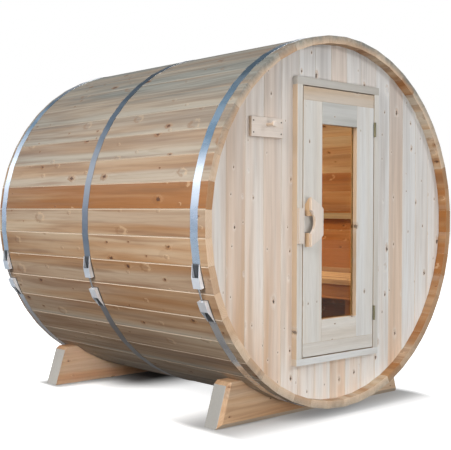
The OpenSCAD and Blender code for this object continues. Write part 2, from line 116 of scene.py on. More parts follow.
def makeLamp(name, place, target, size, watts, colour, spread):
    data = bpy.data.lights.new(name, "AREA")
    data.shape = "RECTANGLE"
    data.size, data.size_y = size
    data.energy = watts
    data.color = colour
    data.spread = math.radians(spread)
    lamp = bpy.data.objects.new(name, data)
    bpy.context.scene.collection.objects.link(lamp)
    turn = (Vector(target) - Vector(place)).to_track_quat("-Z", "Y").to_matrix().to_4x4()
    lamp.matrix_world = Matrix.Translation(place) @ turn


def put(tree, kind, inputs=None, **settings):
    # adds one shader node; an input is a value or another node's socket
    node = tree.nodes.new("ShaderNode" + kind)
    for key, value in settings.items():
        setattr(node, key, value)
    for key, value in (inputs or {}).items():
        if isinstance(value, bpy.types.NodeSocket):
            tree.links.new(value, node.inputs[key])
        else:
            node.inputs[key].default_value = value
    return node


def calc(tree, operation, a, b=0.0, c=0.0, clamp=False):
    return put(tree, "Math", {0: a, 1: b, 2: c}, operation=operation, use_clamp=clamp).outputs[0]


def step(tree, value, low, high, outLow=0.0, outHigh=1.0):
    # smooth step from low to high
    return put(tree, "MapRange", {"Value": value, "From Min": low, "From Max": high, "To Min": outLow,
        "To Max": outHigh}, interpolation_type="SMOOTHSTEP").outputs["Result"]


def blendNumber(tree, amount, a, b):
    return put(tree, "Mix", {0: amount, 2: a, 3: b}, data_type="FLOAT").outputs[0]


def blendColour(tree, amount, a, b, mode="MIX"):
    mixer = put(tree, "Mix", {"Factor": amount}, data_type="RGBA", blend_type=mode)
    for socket, value in ((mixer.inputs[6], a), (mixer.inputs[7], b)):
        if isinstance(value, bpy.types.NodeSocket):
            tree.links.new(value, socket)
        else:
            socket.default_value = (*value, 1)
    return mixer.outputs[2]


def setRamp(ramp, stops):
    while len(ramp.elements) < len(stops):
        ramp.elements.new(0.5)
    for element, (position, colour) in zip(ramp.elements, stops):
        element.position = position
        element.color = (*colour, 1)


def newMaterial(name):
    material = bpy.data.materials.new(name)
    material.use_nodes = True
    tree = material.node_tree
    tree.nodes.clear()
    return material, tree, tree.nodes.new("ShaderNodeOutputMaterial")


def distanceTo(tree, place, low, high, shape=(1, 1, 0)):
    # how far a point of the floor lies outside a rectangle, with a weight for each direction
    centre = ((low[0] + high[0]) / 2, (low[1] + high[1]) / 2, 0)
    half = ((high[0] - low[0]) / 2, (high[1] - low[1]) / 2, 0)
    offset = put(tree, "VectorMath", {0: place, 1: centre}, operation="SUBTRACT")
    offset = put(tree, "VectorMath", {0: offset.outputs[0]}, operation="ABSOLUTE")
    beyond = put(tree, "VectorMath", {0: offset.outputs[0], 1: half}, operation="SUBTRACT")
    beyond = put(tree, "VectorMath", {0: beyond.outputs[0], 1: (0, 0, 0)}, operation="MAXIMUM")
    beyond = put(tree, "VectorMath", {0: beyond.outputs[0], 1: shape}, operation="MULTIPLY")
    return put(tree, "VectorMath", {0: beyond.outputs[0]}, operation="LENGTH").outputs["Value"]


def makeSky(values):
    world = bpy.data.worlds.new("studio")
    bpy.context.scene.world = world
    world.use_nodes = True
    tree = world.node_tree
    tree.nodes.clear()
    path = put(tree, "LightPath")
    seen = calc(tree, "MAXIMUM", path.outputs["Is Camera Ray"], path.outputs["Is Transmission Ray"])
    strength = calc(tree, "MULTIPLY_ADD", seen, 1 - values["skyStrength"], values["skyStrength"])
    colour = blendColour(tree, seen, values["skyTint"], (1, 1, 1))
    sky = put(tree, "Background", {"Color": colour, "Strength": strength})
    direction = put(tree, "SeparateXYZ", {0: put(tree, "TexCoord").outputs["Generated"]})
    bands = put(tree, "ValToRGB", {"Fac": calc(tree, "MULTIPLY_ADD", direction.outputs["Z"], 0.5, 0.5)})
    setRamp(bands.color_ramp, reflectedSky)
    start, end, faded = values["skyFade"]
    darker = step(tree, direction.outputs["X"], start, end, 1.0, faded)
    mirror = put(tree, "Background", {"Color": bands.outputs[0], "Strength": darker})
    glossy = path.outputs["Is Glossy Ray"]
    both = put(tree, "MixShader", {0: glossy, 1: sky.outputs[0], 2: mirror.outputs[0]})
    tree.links.new(both.outputs[0], tree.nodes.new("ShaderNodeOutputWorld").inputs[0])


def makeFloor(values):
    # pale paper, with painted shade under the barrel and round the cradles' feet
    bm = bmesh.new()
    bmesh.ops.create_grid(bm, x_segments=2, y_segments=2, size=values["floorSize"])
    mesh = bpy.data.meshes.new("floor")
    bm.to_mesh(mesh)
    bm.free()
    floor = bpy.data.objects.new("floor", mesh)
    bpy.context.scene.collection.objects.link(floor)
    material, tree, out = newMaterial("floor_paper")
    path = put(tree, "LightPath")
    seen = path.outputs["Is Camera Ray"]
    glossy = path.outputs["Is Glossy Ray"]
    place = put(tree, "TexCoord").outputs["Object"]
    backLow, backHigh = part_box("cradle_back")
    shadeLeft, shadeDeep, soft = values["floorPaintedShade"]
    outsidePaintedShade = distanceTo(tree, place, (shadeLeft, backLow[1] - shadeDeep), (backHigh[0], backHigh[1]))
    frontShape, backShape = values["paintedShadeShapes"]
    toFront = distanceTo(tree, place, *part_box("cradle_front"), frontShape)
    toFoot = calc(tree, "MINIMUM", toFront, distanceTo(tree, place, backLow, backHigh, backShape))
    footTone, footReach = values["floorPaintedContactShade"]
    contactPaintedShade = step(tree, toFoot, 0, footReach, footTone, 1.0)
    # clear is 1 outside the painted shade and falls towards 0 in it; it darkens both the paper and its glow
    clear = calc(tree, "MULTIPLY", step(tree, outsidePaintedShade, 0, soft), contactPaintedShade)
    lowTone, highTone = values["floorSeenTone"]
    tone = calc(tree, "MULTIPLY_ADD", clear, highTone - lowTone, lowTone)
    lit = blendNumber(tree, seen, values["floorTone"], tone)
    paperColour = put(tree, "CombineColor", {0: lit, 1: lit, 2: lit}).outputs[0]
    paper = put(tree, "BsdfDiffuse", {"Color": paperColour})
    own = calc(tree, "MULTIPLY", clear, values["floorGlow"])
    away = put(tree, "VectorMath", {0: place}, operation="LENGTH").outputs["Value"]
    near, far = values["mirrorReach"]
    mirrored = calc(tree, "MULTIPLY", step(tree, away, near, far, *values["floorMirror"]), glossy)
    bluish = blendColour(tree, step(tree, away, near, far), *values["mirrorTints"])
    glowColour = blendColour(tree, glossy, (1, 1, 1), bluish)
    glowStrength = calc(tree, "MULTIPLY_ADD", seen, own, mirrored)
    glow = put(tree, "Emission", {"Color": glowColour, "Strength": glowStrength})
    both = put(tree, "AddShader", {0: paper.outputs[0], 1: glow.outputs[0]})
    tree.links.new(both.outputs[0], out.inputs[0])
    mesh.materials.append(material)


makeCamera(studio)
makeSky(studio)
makeFloor(studio)
for name, values in lamps.items():
    makeLamp(name, *values)
bpy.context.scene.view_settings.view_transform = "Standard"
print("studio ready")

# wood: every board carries its own grain coordinates (along, across, through) in metres

woodFinishes = {
    # tones go from pale to dark; ring is the width of a growth ring and cell the room for one knot, both
    # in metres; knotSize is a factor and every other plain number is a share or a strength from 0 to 1
    "stave_wood": {
        "tones": [(0.59, 0.45, 0.31), (0.51, 0.33, 0.195), (0.44, 0.235, 0.105), (0.345, 0.13, 0.027)],
        "dark": (0.24, 0.11, 0.045), "sap": (0.56, 0.48, 0.38), "swirlPaintedLight": (0.72, 0.52, 0.33),
        "knot": (0.10, 0.04, 0.018), "end": (0.82, 0.63, 0.46), "grey": (0.26, 0.255, 0.225),
        "arrisHighlight": (0.80, 0.67, 0.53), "streaks": 0.92, "sapwood": 0.4, "darkStreaks": 0.5,
        "ring": 0.009, "rings": 0.18, "thin": 0.24,
        "cell": (0.15, 0.062), "knots": 0.42, "darkKnots": 0.42, "knotSize": 1.0, "swirlHighlight": 0.5, "halo": 0.0,
        "endTone": 1.0, "edgeTone": 0.0, "greyStreaks": 0.55,
    },
    "wall_boards": {
        "tones": [(0.80, 0.80, 0.79), (0.80, 0.745, 0.69), (0.77, 0.60, 0.47), (0.64, 0.40, 0.23)],
        "dark": (0.45, 0.33, 0.235), "sap": (0.78, 0.75, 0.72), "swirlPaintedLight": (0.80, 0.72, 0.62),
        "knot": (0.08, 0.05, 0.035), "end": (0.6, 0.45, 0.32), "grey": (0.51, 0.51, 0.51),
        "arrisHighlight": (0.74, 0.64, 0.54), "streaks": 0.64, "sapwood": 0.35, "darkStreaks": 0.35,
        "ring": 0.008, "rings": 0.16, "thin": 0.25,
        "cell": (0.12, 0.08), "knots": 0.56, "darkKnots": 0.9, "knotSize": 0.78, "swirlHighlight": 0.4, "halo": 0.3,
        "endTone": 0.5, "edgeTone": 0.0, "greyStreaks": 0.3,
    },
    "door_wood": {
        "tones": [(0.69, 0.70, 0.70), (0.66, 0.62, 0.565), (0.60, 0.52, 0.44), (0.56, 0.38, 0.22)],
        "dark": (0.42, 0.36, 0.30), "sap": (0.62, 0.62, 0.60), "swirlPaintedLight": (0.66, 0.62, 0.55),
        "knot": (0.17, 0.13, 0.10), "end": (0.55, 0.44, 0.33), "grey": (0.40, 0.40, 0.38),
        "arrisHighlight": (0.60, 0.56, 0.50), "streaks": 0.4, "sapwood": 0.4, "darkStreaks": 0.2,
        "ring": 0.007, "rings": 0.12, "thin": 0.25,
        "cell": (0.16, 0.07), "knots": 0.35, "darkKnots": 0.85, "knotSize": 0.75, "swirlHighlight": 0.3, "halo": 0.2,
        "endTone": 0.5, "edgeTone": 0.8, "greyStreaks": 0.2,
    },
    "handle_wood": {
        "tones": [(0.72, 0.63, 0.56), (0.66, 0.53, 0.41), (0.60, 0.42, 0.27), (0.55, 0.36, 0.20)],
        "dark": (0.42, 0.27, 0.16), "sap": (0.68, 0.60, 0.52), "swirlPaintedLight": (0.70, 0.58, 0.46),
        "knot": (0.2, 0.1, 0.05), "end": (0.55, 0.40, 0.27), "grey": (0.55, 0.52, 0.48),
        "arrisHighlight": (0.72, 0.60, 0.48), "streaks": 0.3, "sapwood": 0.2, "darkStreaks": 0.2,
        "ring": 0.006, "rings": 0.12, "thin": 0.2,
        "cell": (0.2, 0.1), "knots": 0.0, "darkKnots": 0.5, "knotSize": 0.6, "swirlHighlight": 0.3, "halo": 0.0,
        "endTone": 0.5, "edgeTone": 0.5, "greyStreaks": 0.2,
    },
    "cradle_wood": {
        "tones": [(0.66, 0.49, 0.34), (0.60, 0.39, 0.23), (0.53, 0.30, 0.15), (0.44, 0.21, 0.09)],
        "dark": (0.27, 0.13, 0.06), "sap": (0.60, 0.48, 0.36), "swirlPaintedLight": (0.66, 0.46, 0.28),
        "knot": (0.10, 0.05, 0.03), "end": (0.40, 0.42, 0.41), "grey": (0.46, 0.45, 0.42),
        "arrisHighlight": (0.62, 0.50, 0.38), "streaks": 0.7, "sapwood": 0.5, "darkStreaks": 0.4,
        "ring": 0.009, "rings": 0.25, "thin": 0.25,
        "cell": (0.14, 0.07), "knots": 0.5, "darkKnots": 0.8, "knotSize": 0.8, "swirlHighlight": 0.4, "halo": 0.0,
        "endTone": 0.15, "edgeTone": 0.0, "greyStreaks": 0.5,
    },
    "bench_wood": {
        "tones": [(0.90, 0.72, 0.54), (0.60, 0.34, 0.17), (0.50, 0.21, 0.065), (0.42, 0.145, 0.035)],
        "dark": (0.26, 0.10, 0.04), "sap": (0.62, 0.42, 0.26), "swirlPaintedLight": (0.66, 0.42, 0.22),
        "knot": (0.12, 0.04, 0.02), "end": (0.5, 0.33, 0.2), "grey": (0.30, 0.27, 0.21),
        "arrisHighlight": (0.6, 0.4, 0.24), "streaks": 0.5, "sapwood": 0.4, "darkStreaks": 0.4,
        "ring": 0.0075, "rings": 0.2, "thin": 0.3,
        "cell": (0.2, 0.06), "knots": 0.35, "darkKnots": 0.6, "knotSize": 0.8, "swirlHighlight": 0.4, "halo": 0.0,
        "endTone": 0.5, "edgeTone": 0.2, "greyStreaks": 0.4,
    },
}


knotShape = {
    "scatter": 0.75,  # how far a knot may lie from the middle of its cell
    "squash": (0.65, 1.15, 1),  # longer along the grain than across it
    "wobble": (110.0, 2.2),  # fineness and depth of the ragged outline
    "size": (0.0034, 0.0095, 2.5),  # smallest radius, the most added to it, and how rare large knots are
    "paleWider": 0.3,  # a knot without a dark core is wider by this share
    # where each part of a knot begins and ends, in radii of the knot
    "core": (1.1, 0.5),
    "rim": (2.0, 1.0),
    "halo": (4.0, 1.2),
    "swirlInside": (0.8, 1.5),
    "swirlOutside": (2.4, 1.7),
    # the raised swirl round a knot gets painted shade on one side and a painted highlight on the other
    "shadedSide": (0.1, 1.1),
    "highlightSide": (0.1, -0.9),
    "rimStrength": 0.4,
    "shadeStrength": 0.42,
    # shares of the painted highlight that grey wood and a dark core take away
    "greyHidesHighlight": 0.8,
    "coreHidesHighlight": 0.75,
    "coreStrength": (0.12, 0.85),  # of a pale knot, and what a dark one adds
}
grainShape = {
    # cycles per metre along and across the grain
    "wander": (0.9, 7),
    "broad": (0.7, 13),
    "narrow": (2.0, 75),
    "sap": (0.35, 8),
    "dark": (1.0, 22),
    "fibre": (14, 900),
    "wanderDepth": (0, 0.034, 0.05),
    "knotPush": 0.008,  # how far a knot pushes the growth rings aside, in metres
    "bump": (0.35, 0.0006),
}
woodLayers = {
    # where a layer starts and ends and, where four numbers stand, its strength at both
    "toneStops": (0.05, 0.35, 0.65, 0.95),
    "sapBands": (0.5, 0.6),
    "sapOnPale": (0.95, 0.75),  # the darkest boards have no sapwood
    "sapStrip": (0.35, 0.65, 0.0, 0.85),
    "darkStreaks": (0.52, 0.68),
    "thinStreaks": (0.5, 0.8),
    "fibres": (0.3, 0.7, 0.94, 1.05),
    "greyed": (0.3, 0.65, 0.6, 1.0),
    "greyThin": (0.35, 0.65, 1.3, 0.75),
    "greyWide": (0.4, 0.62, 1.15, 0.8),
    "endTones": (0.3, 0.95),
    "rough": (0.3, 0.7, 0.5, 0.66),
    "lateWood": (2.2, 1.0, 0.93),  # how late a ring darkens, and where it breaks off to the next
    "lateOnEnds": 0.2,
    "greyOnEnds": 1.25,
    "arrisHighlight": (0.9, 0.85),  # strength of the painted highlight on the eased edges, and what greying takes away
}


def knotMasks(tree, grain, finish):
    # one cell of the pattern holds at most one knot
    cell = finish["cell"]
    spread = put(tree, "Mapping", {"Vector": grain, "Scale": (1 / cell[0], 1 / cell[1], 0)})
    cells = put(tree, "TexVoronoi", {"Vector": spread.outputs[0], "Scale": 1.0,
        "Randomness": knotShape["scatter"]}, voronoi_dimensions="2D")
    centre = put(tree, "Mapping", {"Vector": cells.outputs["Position"], "Scale": (cell[0], cell[1], 0)})
    flat = put(tree, "Mapping", {"Vector": grain, "Scale": (1, 1, 0)})
    offset = put(tree, "VectorMath", {0: flat.outputs[0], 1: centre.outputs[0]}, operation="SUBTRACT")
    squash = put(tree, "Mapping", {"Vector": offset.outputs[0], "Scale": knotShape["squash"]})
    reach = put(tree, "VectorMath", {0: squash.outputs[0]}, operation="LENGTH").outputs["Value"]
    draw = put(tree, "SeparateColor", {"Color": cells.outputs["Color"]})
    hasKnot = calc(tree, "LESS_THAN", draw.outputs["Red"], finish["knots"])
    isDark = calc(tree, "LESS_THAN", draw.outputs["Blue"], finish["darkKnots"])

    smallest, added, rarity = knotShape["size"]
    size = calc(tree, "MULTIPLY_ADD", calc(tree, "POWER", draw.outputs["Green"], rarity), added, smallest)
    size = calc(tree, "MULTIPLY", size, finish["knotSize"])
    wider = knotShape["paleWider"]
    size = calc(tree, "MULTIPLY", size, calc(tree, "MULTIPLY_ADD", isDark, -wider, 1 + wider))
    fineness, depth = knotShape["wobble"]
    wobble = put(tree, "TexNoise", {"Vector": grain, "Scale": fineness, "Detail": 2.0})
    ragged = calc(tree, "MULTIPLY_ADD", wobble.outputs["Fac"], depth, -depth / 2)
    relative = calc(tree, "ADD", calc(tree, "DIVIDE", reach, size), ragged)

    masks = {"isDark": isDark}
    for part in ("core", "rim", "halo"):
        masks[part] = calc(tree, "MULTIPLY", step(tree, relative, *knotShape[part]), hasKnot)
    inside = step(tree, relative, *knotShape["swirlInside"])
    outside = step(tree, relative, *knotShape["swirlOutside"])
    swirlPaintedLight = calc(tree, "MULTIPLY", calc(tree, "MULTIPLY", inside, outside), hasKnot)
    side = put(tree, "SeparateXYZ", {0: offset.outputs[0]})
    lean = calc(tree, "DIVIDE", calc(tree, "ADD", side.outputs["X"], side.outputs["Y"]), size)
    masks["shade"] = calc(tree, "MULTIPLY", swirlPaintedLight, step(tree, lean, *knotShape["shadedSide"]))
    masks["swirlHighlight"] = calc(tree, "MULTIPLY", swirlPaintedLight, step(tree, lean, *knotShape["highlightSide"]))
    return masks


def streak(tree, source, kind, detail=2.0):
    # noise drawn out along the grain
    along, across = grainShape[kind]
    stretched = put(tree, "Mapping", {"Vector": source, "Scale": (along, across, across)})
    return put(tree, "TexNoise", {"Vector": stretched.outputs[0], "Scale": 1.0, "Detail": detail}).outputs


def oneChannel(tree, noise, channel):
    return put(tree, "SeparateColor", {"Color": noise["Color"]}).outputs[channel]


def woodMaterial(name, finish):
    material, tree, out = newMaterial(name)

    def stored(key):
        return put(tree, "Attribute", attribute_name=key).outputs["Fac"]

    def tint(amount, base, top):
        return blendColour(tree, amount, base, top)

    grain = put(tree, "Attribute", attribute_name="grain").outputs["Vector"]
    tone, weather, endFace = stored("tone"), stored("weather"), stored("endFace")
    knots = knotMasks(tree, grain, finish)

    # growth rings round the heart of the tree, pushed aside by the knots
    drift = streak(tree, grain, "wander", 3.0)["Color"]
    shift = put(tree, "VectorMath", {0: drift, 1: (0.5, 0.5, 0.5)}, operation="SUBTRACT")
    shifted = put(tree, "VectorMath", {0: shift.outputs[0], 1: grainShape["wanderDepth"], 2: grain},
        operation="MULTIPLY_ADD").outputs[0]
    cross = put(tree, "Mapping", {"Vector": shifted, "Scale": (0, 1, 1)})
    heart = put(tree, "VectorMath", {0: cross.outputs[0]}, operation="LENGTH").outputs["Value"]
    heart = calc(tree, "MULTIPLY_ADD", knots["halo"], grainShape["knotPush"], heart)
    phase = calc(tree, "FRACT", calc(tree, "DIVIDE", heart, finish["ring"]))
    power, breakEnd, breakStart = woodLayers["lateWood"]
    late = calc(tree, "MULTIPLY", calc(tree, "POWER", phase, power), step(tree, phase, breakEnd, breakStart))

    # long streaks, broad and narrow, bands of sapwood and fine fibres
    broad = streak(tree, shifted, "broad")["Fac"]
    narrow = streak(tree, shifted, "narrow")["Fac"]
    sapNoise = oneChannel(tree, streak(tree, shifted, "sap"), "Green")
    darkNoise = oneChannel(tree, streak(tree, shifted, "dark"), "Green")
    fibre = streak(tree, grain, "fibre", 1.0)["Fac"]
    lean = calc(tree, "SUBTRACT", broad, 0.5)

    # fresh wood
    ramp = put(tree, "ValToRGB", {"Fac": calc(tree, "MULTIPLY_ADD", lean, 2 * finish["streaks"], tone)})
    setRamp(ramp.color_ramp, list(zip(woodLayers["toneStops"], finish["tones"])))
    sap = step(tree, sapNoise, *woodLayers["sapBands"], 0.0, finish["sapwood"])
    sap = calc(tree, "MULTIPLY", sap, step(tree, tone, *woodLayers["sapOnPale"]))
    colour = tint(sap, ramp.outputs["Color"], finish["sap"])
    edgeLine = calc(tree, "MULTIPLY_ADD", lean, 0.5, stored("sapEdge"))
    colour = tint(step(tree, edgeLine, *woodLayers["sapStrip"]), colour, finish["sap"])
    darker = step(tree, darkNoise, *woodLayers["darkStreaks"], 0.0, finish["darkStreaks"])
    colour = tint(darker, colour, finish["dark"])
    colour = tint(calc(tree, "MULTIPLY", late, finish["rings"]), colour, finish["dark"])
    thin = step(tree, narrow, *woodLayers["thinStreaks"], 0.0, finish["thin"])
    colour = tint(thin, colour, finish["dark"])
    fine = step(tree, fibre, *woodLayers["fibres"])
    colour = put(tree, "VectorMath", {0: colour, "Scale": fine}, operation="SCALE").outputs[0]
    colour = tint(calc(tree, "MULTIPLY", stored("edgeFace"), finish["edgeTone"]), colour, finish["tones"][3])

    # greyed in streaks: by the weather, greyer towards the staves' bottom, and high on the end walls also as
    # painted shade
    greyed = calc(tree, "MULTIPLY", weather, step(tree, broad, *woodLayers["greyed"]))
    thinStreaks = step(tree, narrow, *woodLayers["greyThin"])
    wideStreaks = step(tree, darkNoise, *woodLayers["greyWide"])
    streaky = calc(tree, "MULTIPLY", thinStreaks, wideStreaks)
    streaky = blendNumber(tree, finish["greyStreaks"], 1.0, streaky)
    grey = put(tree, "VectorMath", {0: finish["grey"], "Scale": streaky}, operation="SCALE").outputs[0]
    colour = tint(greyed, colour, grey)

    # knots
    isDark = knots["isDark"]
    colour = tint(calc(tree, "MULTIPLY", knots["halo"], finish["halo"]), colour, finish["tones"][0])
    rim = calc(tree, "MULTIPLY", knots["rim"], calc(tree, "MULTIPLY", isDark, knotShape["rimStrength"]))
    colour = tint(rim, colour, finish["tones"][3])
    # painted highlight on one side of the raised swirl round a knot, then painted shade on its other side
    unhidden = calc(tree, "MULTIPLY_ADD", greyed, -knotShape["greyHidesHighlight"], 1.0)
    swirlHighlight = calc(tree, "MULTIPLY", knots["swirlHighlight"], unhidden)
    unhidden = calc(tree, "MULTIPLY_ADD", isDark, -knotShape["coreHidesHighlight"], 1.0)
    swirlHighlight = calc(tree, "MULTIPLY", swirlHighlight, unhidden)
    colour = tint(calc(tree, "MULTIPLY", swirlHighlight, finish["swirlHighlight"]), colour, finish["swirlPaintedLight"])
    colour = tint(calc(tree, "MULTIPLY", knots["shade"], knotShape["shadeStrength"]), colour, finish["dark"])
    plain, added = knotShape["coreStrength"]
    core = calc(tree, "MULTIPLY", knots["core"], calc(tree, "MULTIPLY_ADD", isDark, added, plain))
    colour = tint(core, colour, finish["knot"])

    # sawn ends, and a painted highlight along the eased long edges
    toned = step(tree, tone, *woodLayers["endTones"], 0, finish["endTone"])
    ends = tint(toned, finish["end"], finish["tones"][2])
    ends = tint(calc(tree, "MULTIPLY", late, woodLayers["lateOnEnds"]), ends, finish["dark"])
    ends = tint(calc(tree, "MULTIPLY", greyed, woodLayers["greyOnEnds"], clamp=True), ends, grey)
    colour = tint(endFace, colour, tint(0.3 * finish["endTone"], ends, colour))
    fresh, worn = woodLayers["arrisHighlight"]
    edgeHighlight = calc(tree, "MULTIPLY", stored("arrisHighlight"), calc(tree, "MULTIPLY_ADD", weather, -worn, fresh))
    colour = tint(edgeHighlight, colour, finish["arrisHighlight"])

    strength, distance = grainShape["bump"]
    height = calc(tree, "MULTIPLY_ADD", late, 0.35, calc(tree, "MULTIPLY", fibre, 0.5))
    bump = put(tree, "Bump", {"Height": height, "Strength": strength, "Distance": distance})
    rough = calc(tree, "MULTIPLY_ADD", knots["core"], -0.15, step(tree, narrow, *woodLayers["rough"]))
    shader = put(tree, "BsdfPrincipled", {"Base Color": colour, "Roughness": rough, "Normal": bump.outputs[0],
        "Specular IOR Level": 0.35})
    tree.links.new(shader.outputs[0], out.inputs[0])
    return material


woods = {name: woodMaterial(name, finish) for name, finish in woodFinishes.items()}
print("wood finishes ready")


def islandsOf(bm):
    # groups of joined vertices, one group for each board
    left = set(bm.verts)
    found = []
    for start in bm.verts:
        if start not in left:
            continue
        left.discard(start)
        group, edge = [start], [start]
        while edge:
            vert = edge.pop()
            for link in vert.link_edges:
                other = link.other_vert(vert)
                if other in left:
                    left.discard(other)
                    group.append(other)
                    edge.append(other)
        found.append(group)
    return found


def middleOf(verts):
    low = Vector([min(v.co[i] for v in verts) for i in range(3)])
    high = Vector([max(v.co[i] for v in verts) for i in range(3)])
    return (low + high) / 2


def staveAxes(centre):
    out = Vector((centre.x, 0, centre.z - barrel["axisHeight"])).normalized()
    return axes["Y"], out.cross(axes["Y"]), out


def boardAxes(along, across):
    a, b = axes[along], axes[across]
    return lambda centre: (a, b, a.cross(b))


grainPlace = {
    # every board is cut from its own place in the pattern, in metres
    "along": 30,
    "across": 0.05,
    "through": (0.03, 0.12),
    "looseWeather": 0.12,
    # how squarely a face must look along or across its board to count as an end or an edge
    "end": 0.75,
    "edge": 0.9,
    "slant": 0.3,
}


def storeGrain(bm, draw, axesOf, toneOf, weatherOf=None, sapOf=None):
    bm.normal_update()
    grain = bm.verts.layers.float_vector.new("grain")
    tone = bm.verts.layers.float.new("tone")
    weather = bm.verts.layers.float.new("weather")
    sapEdge = bm.verts.layers.float.new("sapEdge")
    endFace = bm.faces.layers.float.new("endFace")
    edgeFace = bm.faces.layers.float.new("edgeFace")
    # eased edge faces, which get a painted highlight
    arrisHighlight = bm.faces.layers.float.new("arrisHighlight")
    for group in islandsOf(bm):
        centre = middleOf(group)
        along, across, through = axesOf(centre)
        startAlong = draw.uniform(0, grainPlace["along"])
        startAcross = draw.uniform(-grainPlace["across"], grainPlace["across"])
        shift = Vector((startAlong, startAcross, draw.uniform(*grainPlace["through"])))
        boardTone = toneOf(centre, draw)
        loose = draw.uniform(0, grainPlace["looseWeather"])
        for vert in group:
            local = vert.co - centre
            vert[grain] = Vector((local.dot(along), local.dot(across), local.dot(through))) + shift
            vert[tone] = boardTone
            vert[weather] = weatherOf(vert.co) + loose if weatherOf else 0.0
            vert[sapEdge] = sapOf(centre, local.dot(across)) if sapOf else 0.0
        for face in {f for v in group for f in v.link_faces}:
            lengthwise = abs(face.normal.dot(along))
            sideways = abs(face.normal.dot(across))
            slant = min(sideways, abs(face.normal.dot(through)))
            face[endFace] = 1.0 if lengthwise > grainPlace["end"] else 0.0
            face[edgeFace] = 1.0 if sideways > grainPlace["edge"] else 0.0
            face[arrisHighlight] = 1.0 if slant > grainPlace["slant"] and lengthwise < grainPlace["slant"] else 0.0


easing = {
    "weld": 0.00002,  # corners nearer than this are one
    "flat": 0.4,  # degrees within which two faces are one plane
    "sharp": 20,  # degrees from which an edge is eased
    "segments": 2,
    "profile": 0.6,
}


def softenEdges(bm, width):
    sharpest = math.radians(easing["sharp"])
    sharp = [e for e in bm.edges if len(e.link_faces) == 2 and e.calc_face_angle(0) > sharpest]
    bmesh.ops.bevel(bm, geom=sharp, offset=width, segments=easing["segments"], profile=easing["profile"],
        affect="EDGES", clamp_overlap=True)


def addPiece(name, bm, material, body, nodes):
    bmesh.ops.recalc_face_normals(bm, faces=bm.faces)
    mesh = bpy.data.meshes.new(name)
    bm.to_mesh(mesh)
    bm.free()
    mesh.materials.append(material)
    piece = bpy.data.objects.new(name, mesh)
    bpy.context.scene.collection.objects.link(piece)
    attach(piece, body)
    if nodes:
        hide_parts(*nodes)
    return piece


def carveNode(node, name, slot, axesOf, toneOf, edge, body="barrel", weatherOf=None, sapOf=None, seed=1):
    # the same solid as in the frame, with eased edges and its own grain
    bm = bmesh.new()
    bm.from_mesh(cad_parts[node].data)
    bmesh.ops.remove_doubles(bm, verts=bm.verts, dist=easing["weld"])
    bmesh.ops.dissolve_limit(bm, angle_limit=math.radians(easing["flat"]), verts=bm.verts, edges=bm.edges)
    softenEdges(bm, edge)
    storeGrain(bm, random.Random(seed), axesOf, toneOf, weatherOf, sapOf)
    return addPiece(name, bm, woods[slot], body, [node])


# staves

staves = {
    "edge": 0.0008,
    "tones": {1: 1.02, 0: 0.4, 2: 0.5, 3: 0.62, 4: 0.66, 5: 0.45, 6: 0.5, 7: 0.3, -1: 0.42, -2: 0.66,
        -3: 0.5, -4: 0.6, -5: 0.4, -6: 0.62, -7: 0.5, -8: 0.4, 17: 0.35, 18: 0.05, 19: 0.5, 20: 0.3,
        21: 0.95, 22: 0.8, 23: 0.95, -22: 0.8, -21: 0.95, -20: 0.7, -19: 0.8},
    # staves with a strip of sapwood along the lower edge, and its share of the width
    "sapStrips": {2: 0.42, 3: 0.35, 4: 0.2, 5: 0.4, 7: 0.3, -4: 0.16, -6: 0.2, 9: 0.3,
        17: 0.6, 18: 0.7, 19: 0.5},
    "halfWidth": 0.062,
    "looseTones": ((0.15, 0.7), (0.4, 1.0)),  # of staves without a tone of their own, left and right
    "pastTop": 14,
    "weatherAbove": (1.25, 1.2),  # strength at the very top and how late it sets in
    "weatherBelow": (0.3, 0.9, 0.5),  # greyer and darker towards the bottom: where it sets in, its slope and its most
    "mostWeather": 0.95,
}


def staveNumber(centre):
    # 0 is the stave at the far left, counted upwards
    angle = math.atan2(centre.z - barrel["axisHeight"], -centre.x)
    return round(angle / staveAngle)


def staveTone(centre, draw):
    number = staveNumber(centre)
    left, right = staves["looseTones"]
    loose = draw.uniform(*(right if abs(number) > staves["pastTop"] else left))
    return staves["tones"].get(number, loose)


def staveGreying(place):
    # greyed on the outside only: most of all the top, by rain and sun, and greyer and darker towards the
    # bottom
    fromAxis = math.hypot(place.x, place.z - barrel["axisHeight"])
    outside = (fromAxis - barrel["innerRadius"]) / (barrel["outerRadius"] - barrel["innerRadius"])
    up = (place.z - barrel["axisHeight"]) / barrel["outerRadius"]
    strength, power = staves["weatherAbove"]
    start, slope, most = staves["weatherBelow"]
    amount = strength * up ** power if up > 0 else min(most, max(0.0, -slope * (up + start)))
    return max(0.0, min(staves["mostWeather"], amount * outside))


def staveSap(centre, across):
    # 1 at the lower edge of a stave with a sapwood strip, falling to 0 past the strip
    share = staves["sapStrips"].get(staveNumber(centre), 0)
    fromEdge = (staves["halfWidth"] - across) / (2 * staves["halfWidth"])
    return 0.5 + (share - fromEdge) * 1.2 if share else 0.0


for side in ("left", "right"):
    for group in range(1, 5):
        carveNode("staves_%s_%d" % (side, group), "staves%s%d" % (side.capitalize(), group), "stave_wood",
            staveAxes, staveTone, staves["edge"], weatherOf=staveGreying, sapOf=staveSap,
            seed=group + 10 * (side == "left"))
print("staves ready")

# end walls of upright tongue and groove boards

